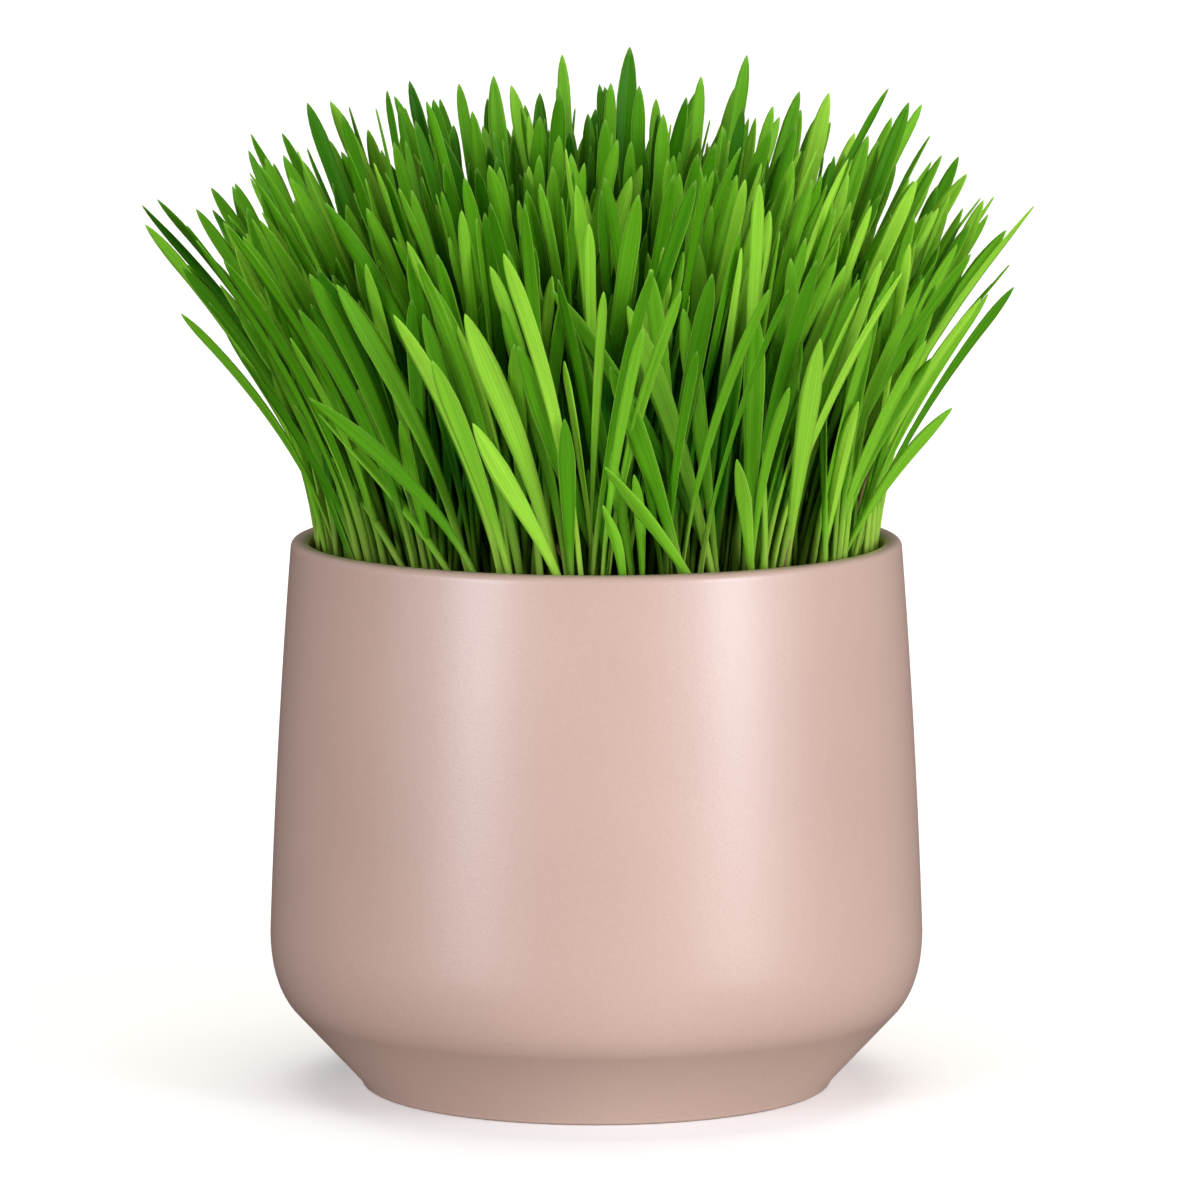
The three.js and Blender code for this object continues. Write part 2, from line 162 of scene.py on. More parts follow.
# %% Satin glaze
def satin_glaze():
    material, tree = new_material("satin_stoneware_glaze")
    place = add_node(tree, "TexCoord").outputs["Object"]
    cloud = add_node(tree, "TexNoise", Vector=place, Scale=per_mm(55), Detail=3.0)
    grain = add_node(tree, "TexNoise", Vector=place, Scale=per_mm(0.8), Detail=2.0, Roughness=0.6)
    pores = add_node(tree, "TexNoise", Vector=place, Scale=per_mm(0.55), Detail=1.0)
    tint = ramp(tree, cloud.outputs["Fac"], [(0.25, "#b39488"), (0.75, "#ba9b8d")])
    speck = ramp(tree, grain.outputs["Fac"], [(0.35, "#fafafa"), (0.65, "#ffffff")])
    colour = add_node(tree, "Mix", {"data_type": "RGBA", "blend_type": "MULTIPLY"},
                      _0=1.0, _6=tint, _7=speck)
    shine = add_node(tree, "MapRange", Value=grain.outputs["Fac"], To_Min=0.4, To_Max=0.5)
    fine = add_node(tree, "Bump", Strength=0.26, Distance=0.1 * MM, Height=pores.outputs["Fac"])
    surface = add_node(tree, "BsdfPrincipled", Base_Color=colour.outputs[2],
                       Roughness=shine.outputs[0], IOR=1.5, Normal=fine.outputs[0],
                       Coat_Weight=0.7, Coat_Roughness=0.32, Coat_IOR=1.5, Coat_Normal=fine.outputs[0])
    return surfaced(material, surface)


glaze = satin_glaze()

# %% [markdown]
# Under the foot the glaze is wiped off before firing, so that the pot doesn't stick to the kiln shelf. What
# shows there is bare fired clay, matt and a little gritty.

# %% Bare clay
def bare_clay():
    material, tree = new_material("unglazed_stoneware")
    place = add_node(tree, "TexCoord").outputs["Object"]
    grit = add_node(tree, "TexNoise", Vector=place, Scale=per_mm(1.2), Detail=4.0)
    colour = ramp(tree, grit.outputs["Fac"], [(0.3, "#c2a48c"), (0.7, "#d9bfa8")])
    rough = add_node(tree, "Bump", Strength=0.4, Distance=0.15 * MM, Height=grit.outputs["Fac"])
    surface = add_node(tree, "BsdfPrincipled", Base_Color=colour, Roughness=0.85, Normal=rough.outputs[0])
    return surfaced(material, surface)


clay = bare_clay()

# %% [markdown]
# ## The pot
# A mould-cast pot is round all the way, so it is drawn as half an outline and spun about its axis, as on a
# wheel. The outline has a flat foot, a 45 degree cone, a rounded belly, a wall that narrows slowly and a
# rounded lip, and comes back down inside.

# %% The pot's outline
pot_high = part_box("pot")[1]
POT_HEIGHT = pot_high.z / MM
BELLY_RADIUS = pot_high.x / MM
FOOT_RADIUS, FOOT_ROUNDING = 54.6, 1.2
CONE_TOP_RADIUS, CONE_TOP_Z, CORNER_Z = 70.2, 18.0, 23.8
BELLY_Z, WALL_SWELL = 36.0, 1.6
RIM_RADIUS, LIP_ROUNDING, WALL = 70.5, 2.1, 4.4
INNER_FLOOR_RADIUS, FLOOR_THICKNESS = 48.0, 6.0


def bend(start, corner, end, count):
    """Points along a smooth bend, without its first."""
    steps = [i / count for i in range(1, count + 1)]
    return [tuple((1 - t) ** 2 * a + 2 * t * (1 - t) * b + t * t * c for a, b, c in zip(start, corner, end))
            for t in steps]


def pot_outline():
    lip_z, middle_z = POT_HEIGHT - LIP_ROUNDING, (BELLY_Z + POT_HEIGHT - LIP_ROUNDING) / 2
    inner_rim, inner_belly = RIM_RADIUS - WALL, BELLY_RADIUS - WALL
    points = [(0.0, 0.0), (FOOT_RADIUS - FOOT_ROUNDING, 0.0)]
    points += bend(points[-1], (FOOT_RADIUS, 0), (FOOT_RADIUS, FOOT_ROUNDING), 4)
    points += [(CONE_TOP_RADIUS, CONE_TOP_Z)]
    points += bend(points[-1], (BELLY_RADIUS, CORNER_Z), (BELLY_RADIUS, BELLY_Z), 16)
    points += bend(points[-1], (BELLY_RADIUS - WALL_SWELL, middle_z), (RIM_RADIUS, lip_z), 16)
    points += bend(points[-1], (RIM_RADIUS, POT_HEIGHT), (RIM_RADIUS - LIP_ROUNDING, POT_HEIGHT), 8)
    points += [(inner_rim + LIP_ROUNDING, POT_HEIGHT)]
    points += bend(points[-1], (inner_rim, POT_HEIGHT), (inner_rim, lip_z), 8)
    points += bend(points[-1], (inner_belly - WALL_SWELL, middle_z), (inner_belly, BELLY_Z), 10)
    points += bend(points[-1], (inner_belly, CONE_TOP_Z + WALL), (INNER_FLOOR_RADIUS, FLOOR_THICKNESS), 8)
    return points + [(0.0, FLOOR_THICKNESS)]


outline = pot_outline()
print("pot outline:", len(outline), "points")

# %% [markdown]
# The outline starts as one vertex, a plane merged to its centre, and is drawn by extruding that vertex from
# point to point. The spin turns it full circle, the doubles at the seam and the poles are merged, and the
# normals are recalculated.

# %% Spin an outline
def spun(points, steps):
    """An outline of radius and height in millimetres, drawn by extrusion and spun about Z."""
    start_clean()
    bpy.ops.mesh.primitive_plane_add(size=MM, location=(points[0][0] * MM, 0, points[0][1] * MM))
    piece = bpy.context.object
    bpy.ops.object.transform_apply(location=True)
    bpy.ops.object.mode_set(mode="EDIT")
    bpy.ops.mesh.select_all(action="SELECT")
    bpy.ops.mesh.merge(type="CENTER")
    for (r0, z0), (r1, z1) in zip(points, points[1:]):
        bpy.ops.mesh.extrude_region_move(
            TRANSFORM_OT_translate={"value": ((r1 - r0) * MM, 0, (z1 - z0) * MM)})
    bpy.ops.mesh.select_all(action="SELECT")
    bpy.ops.mesh.spin(steps=steps, angle=2 * math.pi, center=(0, 0, 0), axis=(0, 0, 1))
    bpy.ops.mesh.select_all(action="SELECT")
    bpy.ops.mesh.remove_doubles(threshold=0.01 * MM)
    bpy.ops.mesh.normals_make_consistent(inside=False)
    bpy.ops.object.mode_set(mode="OBJECT")
    return piece


pot = spun(outline, 160)
bpy.ops.object.shade_smooth_by_angle(angle=math.radians(40))
pot.data.materials.append(glaze)
pot.data.materials.append(clay)
for face in pot.data.polygons:
    if face.normal.z < -0.99 and face.center.z < 1 * MM:
        face.material_index = 1
finish_piece(pot, "glazed_pot", "pot_glaze", "pot")

# %% [markdown]
# ## The soil
# Potting soil is dark, moist and crumbly. Little of it shows between the stems, but it shows from above and
# makes the dark ground that the pale stems stand out from. A spun body fills the pot, its top is pushed up
# and down by noise, and loose crumbs lie on it.

# %% Moist soil
def moist_soil():
    material, tree = new_material("moist_potting_soil")
    place = add_node(tree, "TexCoord").outputs["Object"]
    lumps = add_node(tree, "TexNoise", Vector=place, Scale=per_mm(2.5), Detail=6.0, Roughness=0.7)
    fibres = add_node(tree, "TexVoronoi", Vector=place, Scale=per_mm(1.4))
    colour = ramp(tree, lumps.outputs["Fac"], [(0.3, "#120c08"), (0.55, "#2b1c12"), (0.75, "#4a3424")])
    both = add_node(tree, "Math", {"operation": "ADD"}, _0=lumps.outputs["Fac"],
                    _1=fibres.outputs["Distance"])
    bump = add_node(tree, "Bump", Strength=0.9, Distance=0.6 * MM, Height=both.outputs[0])
    surface = add_node(tree, "BsdfPrincipled", Base_Color=colour, Roughness=0.9, Normal=bump.outputs[0])
    return surfaced(material, surface)


soil_material = moist_soil()

# %% [markdown]
# The body's outline follows the pot's inside at a small gap and closes with a row of rings across the top,
# so that there are enough vertices for the lumps. Two sizes of noise are added up: broad heaps as a spoon
# leaves them, and small clods.

# %% The soil body
SOIL_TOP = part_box("soil")[1].z / MM
SOIL_GAP = 0.3
SOIL_RINGS = 26


def soil_outline():
    inside = [(r - SOIL_GAP, z) for r, z in reversed(outline[-19:-1]) if z < SOIL_TOP - 1]
    points = [(0.0, FLOOR_THICKNESS + SOIL_GAP)] + inside
    edge = RIM_RADIUS - WALL + 0.6 - SOIL_GAP
    return points + [(edge * (1 - i / SOIL_RINGS), SOIL_TOP - 1) for i in range(SOIL_RINGS + 1)]


def heap(x, y):
    """The height in millimetres that the soil's top is raised by at a place in millimetres."""
    broad = noise.noise(Vector((x / 17, y / 17, 0)))
    lumps = noise.noise(Vector((x / 4, y / 4, 5)))
    return 1.2 * broad + 0.9 * lumps


soil = spun(soil_outline(), 120)
for vertex in soil.data.vertices:
    if vertex.co.z > (SOIL_TOP - 1.5) * MM:
        vertex.co.z += heap(vertex.co.x / MM, vertex.co.y / MM) * MM
soil.data.update()
bpy.ops.object.shade_smooth()
soil.data.materials.append(soil_material)
finish_piece(soil, "potting_soil", "potting_soil", "soil")

# %% [markdown]
# ## Seeds and crumbs
# The seed was sown on the surface, so its empty husks lie among the stems, with loose crumbs of soil. Husks
# are dry straw: matt, yellow-brown and blotchy, which gives the eye a few warm specks down among the stems.

# %% Straw and husk
def dry_straw():
    material, tree = new_material("dry_husk_and_straw")
    place = add_node(tree, "TexCoord").outputs["Object"]
    blotch = add_node(tree, "TexNoise", Vector=place, Scale=per_mm(3), Detail=3.0)
    colour = ramp(tree, blotch.outputs["Fac"], [(0.3, "#4a3a1a"), (0.5, "#6e5a2c"), (0.72, "#8c7844")])
    rough = add_node(tree, "Bump", Strength=0.3, Distance=0.1 * MM, Height=blotch.outputs["Fac"])
    surface = add_node(tree, "BsdfPrincipled", Base_Color=colour, Roughness=0.7, Normal=rough.outputs[0])
    return surfaced(material, surface)


straw = dry_straw()

# %% [markdown]
# A husk is a small spindle with a crease down one side. It starts as a ball of few faces that is stretched,
# pinched at its ends and dented. A crumb is a ball knocked out of round.

# %% Modelling a husk and a crumb
HUSK_LENGTH, HUSK_WIDTH = 7.5, 2.7


def places_and_faces(piece):
    """The vertices and faces of a modelled shape, which is then taken away."""
    places = np.array([tuple(vertex.co) for vertex in piece.data.vertices])
    faces = [tuple(face.vertices) for face in piece.data.polygons]
    bpy.data.objects.remove(piece)
    return places, faces


def husk_shape():
    start_clean()
    bpy.ops.mesh.primitive_uv_sphere_add(segments=8, ring_count=6, radius=0.5, location=(0, 0, 0))
    piece = bpy.context.object
    bpy.ops.transform.resize(value=(HUSK_WIDTH, HUSK_WIDTH, HUSK_LENGTH))
    bpy.ops.object.transform_apply(location=False, rotation=False, scale=True)
    for vertex in piece.data.vertices:
        along = abs(vertex.co.z) / (HUSK_LENGTH / 2)
        vertex.co.x *= 1 - 0.25 * along
        vertex.co.y *= 1 - 0.25 * along
        if vertex.co.y > 0 and abs(vertex.co.x) < 0.1:
            vertex.co.y *= 0.45
    return places_and_faces(piece)


def crumb_shape():
    start_clean()
    bpy.ops.mesh.primitive_ico_sphere_add(subdivisions=1, radius=1.0, location=(0, 0, 0))
    piece = bpy.context.object
    for vertex in piece.data.vertices:
        vertex.co *= 1 + 0.5 * noise.noise(vertex.co * 1.7)
    return places_and_faces(piece)


husk_places, husk_faces = husk_shape()
crumb_places, crumb_faces = crumb_shape()
print("husk faces:", len(husk_faces), "crumb faces:", len(crumb_faces))

# %% [markdown]
# Both are repeated hundreds of times, so they have few faces. Each copy has its own places, its own size
# and its own tilt, and rests on the soil's lumpy top; all the copies of one shape are one piece. Husks lie
# nearly flat, as they do once water has settled them.

# %% Scattering them
scatter = np.random.RandomState(7)
HUSKS, CRUMBS = 190, 900
LITTER_RADIUS, HUSK_LIFT = 62, 0.9


def turned(places, tilt):
    """Places turned by a tilt from upright and a random heading."""
    heading = 2 * math.pi * scatter.rand()
    c, s = math.cos(tilt), math.sin(tilt)
    x, y, z = places.T
    y, z = c * y - s * z, s * y + c * z
    c, s = math.cos(heading), math.sin(heading)
    return np.column_stack([c * x - s * y, s * x + c * y, z])


def spot_on_soil(reach):
    radius, angle = reach * math.sqrt(scatter.rand()), 2 * math.pi * scatter.rand()
    x, y = radius * math.cos(angle), radius * math.sin(angle)
    return np.array([x, y, SOIL_TOP - 1 + heap(x, y)])


def merged_piece(parts, faces, material):
    """Copies of one shape, each with its own places in millimetres, as one piece."""
    places, count = np.vstack(parts) * MM, len(parts[0])
    all_faces = [tuple(i + number * count for i in face) for number in range(len(parts)) for face in faces]
    mesh = bpy.data.meshes.new("scatter")
    mesh.from_pydata(places.tolist(), [], all_faces)
    mesh.polygons.foreach_set("use_smooth", [True] * len(mesh.polygons))
    mesh.materials.append(material)
    piece = bpy.data.objects.new("scatter", mesh)
    bpy.context.scene.collection.objects.link(piece)
    return piece


husks = [turned(husk_places * (0.8 + 0.35 * scatter.rand()), math.radians(70 + 40 * scatter.rand()))
         + spot_on_soil(LITTER_RADIUS) + (0, 0, HUSK_LIFT) for _ in range(HUSKS)]
finish_piece(merged_piece(husks, husk_faces, straw), "seed_husks", "grass_leaf")
crumbs = [turned(crumb_places * (0.4 + 1.1 * scatter.rand() ** 2), 6 * scatter.rand())
          + spot_on_soil(LITTER_RADIUS + 1) for _ in range(CRUMBS)]
finish_piece(merged_piece(crumbs, crumb_faces, soil_material), "soil_crumbs", "potting_soil")

# %% [markdown]
# ## Reading the blades
# Each tuft is one solid: a root plug with its blades fused to it. A blade has a sharp tip with three edges
# running down from it to a ring of three corners, then to the next ring, and so on down to the plug.
# Walking down those edges gives each blade its tip, its middle line, its width and the way it faces, so the
# finer blades can stand exactly where the solids are.

# %% Corners and edges of a tuft
def corners_of(node):
    """A solid's corners in millimetres and, for each, the set of corners it shares an edge with."""
    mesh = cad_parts[node].data
    places = np.array([tuple(v.co) for v in mesh.vertices]) / MM
    corners, owner = np.unique(np.round(places, 2), axis=0, return_inverse=True)
    owner = owner.ravel()
    beside = [set() for _ in corners]
    for face in mesh.polygons:
        a, b, c = (owner[i] for i in face.vertices)
        beside[a].update((b, c))
        beside[b].update((a, c))
        beside[c].update((a, b))
    return corners, beside


def rings_under(tip, corners, beside):
    """The level rings of three corners below a tip, and the corners below the last of them."""
    rings, seen, level = [], {tip}, {tip}
    while True:
        floor = min(corners[i][2] for i in level) - 0.5
        below = {j for i in level for j in beside[i] if j not in seen and corners[j][2] < floor}
        heights = [corners[j][2] for j in below]
        if len(below) != 3 or max(heights) - min(heights) > 0.1:
            return rings, [corners[j] for j in below]
        rings.append(np.array([corners[j] for j in sorted(below)]))
        seen |= below
        level = below


# %% [markdown]
# In a ring of three corners the two that lie farthest apart are the blade's edges, and the third is its
# keel. That gives the width and the heading. Where the blade meets the plug its foot is found, and from the
# lowest ring how far it bows: 0 is a straight line from foot to tip, 1 a curve that starts upright and
# leans out more and more.

# %% The facts of one blade
def ring_facts(ring):
    """The middle of a ring's two edges, its width and the heading of the line across it."""
    pairs = [(0, 1, 2), (1, 2, 0), (2, 0, 1)]
    a, b, keel = max(pairs, key=lambda p: np.linalg.norm(ring[p[0]] - ring[p[1]]))
    middle = (ring[a] + ring[b]) / 2
    across = ring[b] - ring[a]
    behind = ring[keel] - middle
    if across[0] * behind[1] - across[1] * behind[0] < 0:
        across = -across
    width = np.linalg.norm(across)
    return middle, width, math.atan2(across[1], across[0])


OUTER_BOW, OUTER_REACH = 0.72, 92.0


def read_blade(tip, corners, beside):
    rings, below = rings_under(tip, corners, beside)
    if not rings:
        return None
    top = corners[tip]
    facts = [ring_facts(ring) for ring in rings]
    near_soil = [p for p in below if p[2] < SOIL_TOP + 2]
    lowest = facts[-1][0]
    if near_soil:
        foot = np.mean(near_soil, axis=0)
    else:
        foot = lowest + (lowest - top) * (lowest[2] - SOIL_TOP) / (top[2] - lowest[2])
    share = (lowest[2] - SOIL_TOP) / (top[2] - SOIL_TOP)
    run = top[:2] - foot[:2]
    reached = float(np.dot(lowest[:2] - foot[:2], run) / max(np.dot(run, run), 1e-6))
    bow = min(max((share - reached) / (share - share * share), 0.0), 0.8)
    bow = max(bow, OUTER_BOW * min(np.hypot(*top[:2]) / OUTER_REACH, 1.0) ** 3)
    turn_low, turn_high = facts[-1][2], facts[0][2]
    swing = math.remainder(turn_high - turn_low, 2 * math.pi)
    return {"foot": foot[:2], "tip": top, "width": max(f[1] for f in facts), "bow": bow,
            "turn": turn_low - swing * 0.5, "twist": swing * 1.5}


def read_tuft(node):
    corners, beside = corners_of(node)
    tips = [i for i, near in enumerate(beside)
            if len(near) == 3 and all(corners[j][2] < corners[i][2] - 1 for j in near)]
    blades = [read_blade(i, corners, beside) for i in tips]
    return [blade for blade in blades if blade]


tuft_nodes = sorted(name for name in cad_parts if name.startswith("grass_tuft_"))
tufts = {node: read_tuft(node) for node in tuft_nodes}
print("blades read from the solids:", sum(len(blades) for blades in tufts.values()))

# %% [markdown]
# ## More leaves than the solids hold
# A seedling two weeks old has two leaves: the first leans away and the second rises out of its sheath. And
# seed is sown over the whole pot, so there are plants between the plugs too. Both kinds are drawn here by a
# seeded rule that keeps the lean and the height of the blades around them.

# %% Seeded draws
draws = np.random.RandomState(41)


def about(spread=1.0):
    """A draw near zero, hardly ever past the spread."""
    return float(np.clip(draws.normal(0, spread / 2), -1.2 * spread, 1.2 * spread))


# %% [markdown]
# The solids' blades are stout, so that 454 of them fill the head. With the leaves that are added here they
# can have their true widths, which differ from leaf to leaf. At the two sides the blades also turn part of
# the way towards the front, because the photo shows leaves there broad side on, not edge on.

# %% True widths
SLIM_LOW, SLIM_HIGH, SLIM_OUTSIDE = 0.48, 0.78, 0.08
TURNED_OUT = 0.8

for blades in tufts.values():
    for blade in blades:
        reach = np.hypot(*blade["tip"][:2])
        outside = min(reach / OUTER_REACH, 1.0) ** 3
        blade["width"] *= SLIM_LOW + (SLIM_HIGH - SLIM_LOW) * draws.rand() - SLIM_OUTSIDE * outside
        facing = round(blade["turn"] / math.pi) * math.pi
        sideways = outside * abs(blade["tip"][0]) / max(reach, 1.0)
        blade["turn"] += (facing - blade["turn"]) * TURNED_OUT * draws.rand() * sideways

# %% [markdown]
# Two real leaves can't stand in one place. So each blade's middle line is noted at a row of levels, and a
# new leaf is kept only if it stays a given gap from every other at each of them, passes inside the lip, and
# ends within the spread of the head. Nor may it stand right before a leaf that is meant to be seen.

# %% Room between blades
LEVELS = np.arange(SOIL_TOP + 12, 242, 4.0)
LIP_REACH = RIM_RADIUS - WALL - 1.4
CROWN_Z = POT_HEIGHT + 2.0
CLEAR_VIEW = 3.4
HEAD_RADIUS, HEAD_SPREAD = 66.0, 0.3


def middle_at(blade, share):
    """The middle line of a blade at shares of its height, in millimetres."""
    share = np.asarray(share, float)
    bent = (1 - blade["bow"]) * share + blade["bow"] * share ** 2
    across = blade["foot"][None, :] + bent[:, None] * (blade["tip"][:2] - blade["foot"])[None, :]
    return np.column_stack([across, SOIL_TOP + share * (blade["tip"][2] - SOIL_TOP)])


def at_levels(blade):
    """Where a blade is at each level, far away above its tip."""
    share = (LEVELS - SOIL_TOP) / (blade["tip"][2] - SOIL_TOP)
    places = middle_at(blade, share)[:, :2]
    places[share > 0.97] = 1e6 * (1 + draws.rand())
    return places


class Stand:
    """Every blade so far, as its places at the levels, to test a new one against."""

    def __init__(self):
        self.places, self.in_sight = [], []

    def add(self, blade):
        self.places.append(at_levels(blade))

    def hides(self, blade):
        """Whether a blade would stand before one of the leaves that are kept in sight."""
        own = at_levels(blade)
        for seen in self.in_sight:
            in_front = own[:, 1] < seen[:, 1]
            if (in_front & (np.abs(own[:, 0] - seen[:, 0]) < CLEAR_VIEW)).any():
                return True
        return False

    def has_room(self, blade, gap):
        low = middle_at(blade, [0, 0.05, 0.1, 0.15, 0.2, 0.3])
        under_lip = low[low[:, 2] < CROWN_Z]
        if np.hypot(under_lip[:, 0], under_lip[:, 1]).max() > LIP_REACH:
            return False
        tip = blade["tip"]
        if not all(cad_low[i] / MM + 0.5 < tip[i] < cad_high[i] / MM - 0.5 for i in range(3)):
            return False
        if np.hypot(tip[0], tip[1]) > HEAD_RADIUS + HEAD_SPREAD * (tip[2] - POT_HEIGHT):
            return False
        if self.hides(blade):
            return False
        away = np.array(self.places) - at_levels(blade)[None]
        return bool(np.hypot(away[..., 0], away[..., 1]).min() > gap)


stand = Stand()
for blades in tufts.values():
    for blade in blades:
        stand.add(blade)

# %% [markdown]
# Thirty leaves lean out over the lip or show their whole length at the front. They are what the eye meets
# first, so each is listed: its foot, its tip, its width, how much it bows and how yellow it is.
# Where a blade of the solids has that tip, that blade takes the values. The others are added, and the
# leaves that come later keep out of their way. The yellowness is partly the leaf's own colour and partly
# painted light: the leaves that the front light falls on most are given the yellowest tones.

# %% Leaves that stand out at the front
# The last column is the tone: the leaf's own colour and painted light, yellowest where the front light
# falls.
STANDING_OUT = [
    (-4.9, -58.8, -26.8, -69.8, 161.3, 4.7, 0.25, 1.00),
    (-6.9, -55.5, -27.8, -75.8, 186.1, 5.6, 0.35, 0.95),
    (-17.2, -56.0, -35.4, -70.1, 175.6, 4.1, 0.35, 0.80),
    (4.4, -47.2, -18.3, -84.0, 179.9, 5.6, 0.20, 0.38),
    (-5.4, -57.2, -6.7, -74.5, 163.2, 4.0, 0.10, 0.30),
    (26.0, -54.2, 1.7, -72.6, 152.5, 4.5, 0.20, 0.70),
    (7.3, -58.7, 2.2, -70.3, 143.1, 3.1, 0.20, 0.70),
    (9.2, -55.7, 2.8, -69.7, 156.2, 3.1, 0.30, 0.60),
    (10.8, -56.5, 8.6, -70.4, 150.0, 2.6, 0.20, 0.60),
    (3.4, -54.3, -1.4, -65.0, 150.5, 3.4, 0.20, 0.15),
    (27.5, -51.6, 7.4, -81.0, 188.1, 5.1, 0.40, 0.80),
    (35.9, -43.7, 30.1, -66.2, 152.9, 3.8, 0.20, 0.80),
    (41.7, -36.5, 51.3, -59.6, 179.2, 5.2, 0.30, 0.90),
    (34.1, -45.7, 42.0, -76.0, 170.0, 2.4, 0.60, 0.60),
    (-27.7, -52.4, -65.5, -39.0, 164.1, 3.6, 0.35, 0.65),
    (-35.0, -44.0, -44.1, -59.6, 160.9, 2.9, 0.30, 0.45),
    (9.2, -52.8, -6.2, -78.2, 185.2, 3.8, 0.30, 0.25),
    (-15.5, -52.9, -36.8, -73.0, 192.9, 5.6, 0.50, 0.55),
    (-38.6, -40.4, -40.7, -69.6, 189.0, 3.6, 0.30, 0.20),
    (-18.6, -52.5, -38.9, -69.2, 183.5, 3.6, 0.05, 0.45),
    (21.5, -54.0, 3.0, -76.3, 175.1, 4.8, 0.30, 0.38),
    (30.2, -45.0, -9.7, -80.8, 191.9, 4.0, 0.35, 0.48),
    (18.9, -48.2, 11.8, -81.0, 196.5, 3.8, 0.35, 0.52),
    (-26.6, -48.5, -56.7, -57.9, 190.6, 4.8, 0.50, 0.55),
    (-33.8, -40.5, -61.5, -52.8, 194.0, 4.0, 0.35, 0.35),
    (-45.6, -33.3, -66.1, -45.5, 184.6, 4.4, 0.30, 0.45),
    (-38.1, -45.5, -81.8, -10.0, 181.9, 4.5, 0.10, 0.40),
    (45.3, -26.1, 43.0, -70.1, 198.0, 3.1, 0.20, 0.65),
    (33.0, -42.7, 36.6, -69.3, 185.0, 4.8, 0.10, 0.42),
    (27.7, -48.5, 19.1, -76.8, 187.5, 4.2, 0.30, 0.52),
]


SAME_TIP, SAME_FOOT = (2.5, 20, 3), 10


def leaf_from(foot, lean, height, width, bow, turn):
    tip = np.array([*(foot + lean * height), SOIL_TOP + height])
    return {"foot": foot, "tip": tip, "width": width, "bow": bow, "turn": turn, "twist": about(0.6)}


plug_centres = {node: np.mean([b["foot"] for b in blades], axis=0) for node, blades in tufts.items()}


def give_home(leaf):
    """Puts a leaf in the tuft whose plug is nearest to its foot."""
    home = min(plug_centres, key=lambda node: np.hypot(*(plug_centres[node] - leaf["foot"])))
    tufts[home].append(leaf)


def blade_at(foot, tip):
    """The blade of the solids that has this tip, seen from the front, and nearly this foot, or None."""
    for blade in (b for blades in tufts.values() for b in blades if "tone" not in b):
        near_tip = (np.abs(blade["tip"] - tip) < SAME_TIP).all()
        if near_tip and np.hypot(*(blade["foot"] - foot)) < SAME_FOOT:
            return blade
    return None


added = 0
for foot_x, foot_y, tip_x, tip_y, tip_z, width, bow, tone in STANDING_OUT:
    foot, tip = np.array([foot_x, foot_y]), np.array([tip_x, tip_y, tip_z])
    leaf = blade_at(foot, tip) or {"tip": tip}
    new = "foot" not in leaf
    leaf.update(foot=foot, width=width, bow=bow, turn=about(0.4), twist=about(0.2), curl=about(0.15),
                fold=0.1 + 0.14 * draws.rand(), tone=tone)
    if new:
        give_home(leaf)
        added += 1
    stand.add(leaf)
    stand.in_sight.append(at_levels(leaf))
print("leaves that stand out:", len(STANDING_OUT), "of which added:", added)

# %% [markdown]
# The second leaf stands at the same foot as its partner, turned to the other side of the stem, and leans
# its own way. A leaf is only kept if it keeps clear of its neighbours and of the pot's lip.

# %% Second leaves
SECOND_GAP = 1.05


def second_leaf(first):
    height = (first["tip"][2] - SOIL_TOP) * (0.6 + 0.44 * draws.rand())
    lean = (first["tip"][:2] - first["foot"]) / (first["tip"][2] - SOIL_TOP)
    lean = lean * (0.75 + about(0.35)) + np.array([about(0.2), about(0.2)])
    foot = first["foot"] + np.array([about(0.7), about(0.7)])
    turn = first["turn"] + math.pi + about(0.8)
    return leaf_from(foot, lean, height, first["width"] * (0.78 + 0.2 * draws.rand()),
                     0.2 + 0.35 * draws.rand(), turn)


def kept(make, tries, gap):
    """The first of several drawn leaves that has room, or None."""
    for _ in range(tries):
        leaf = make()
        if stand.has_room(leaf, gap):
            stand.add(leaf)
            return leaf
    return None


seconds = 0
for node, blades in tufts.items():
    for first in [blade for blade in blades if "tone" not in blade]:
        leaf = kept(lambda: second_leaf(first), 8, SECOND_GAP)
        if leaf:
            blades.append(leaf)
            seconds += 1
print("second leaves:", seconds)

# %% [markdown]
# The plants between the plugs come from seed that was broadcast over the whole pot. They follow the crown
# of the head: tallest in the middle, leaning out more the nearer they stand to the wall, and of any age, so
# some stay half as tall. They are narrower than the first ones, as crowded plants are.

# %% Plants between the plugs
SPREAD, SPREAD_RADIUS = 0.5, 60.0
SOWN_RADIUS = 63.0
TALLEST, CROWN_DROP = 115.0, 0.24
BETWEEN_TRIED, BETWEEN_GAP = 2100, 1.1


def crown_height(radius):
    """How high the crown of the head stands above the soil at a radius."""
    return TALLEST * (1 - CROWN_DROP * (radius / SPREAD_RADIUS) ** 2)


def plant_between():
    radius = SOWN_RADIUS * math.sqrt(draws.rand())
    angle = 2 * math.pi * draws.rand()
    foot = on_circle(radius, angle)
    lean = foot / max(radius, 1) * SPREAD * (radius / SPREAD_RADIUS) ** 1.15 * (1 + about(0.3))
    lean = lean + np.array([about(0.34), about(0.3)])
    full = crown_height(radius)
    height = full * (0.5 + 0.53 * draws.rand() ** 0.5)
    turn = about(1.5) + math.pi * (draws.rand() < 0.5)
    return leaf_from(foot, lean, height, 2.6 + 1.8 * draws.rand(), 0.15 + 0.5 * draws.rand(), turn)


def sow(make, count, tries, gap):
    """Draws a number of plants, keeps those that find room within some tries, and counts them."""
    grown = [leaf for leaf in (kept(make, tries, gap) for _ in range(count)) if leaf]
    for leaf in grown:
        give_home(leaf)
    return len(grown)


print("plants between the plugs:", sow(plant_between, BETWEEN_TRIED, 3, BETWEEN_GAP))

# %% [markdown]
# Right at the wall stands a last ring of short, thin plants. Their pale stems fill the strip between the
# lip and the first broad leaves, where dark soil would otherwise show through.

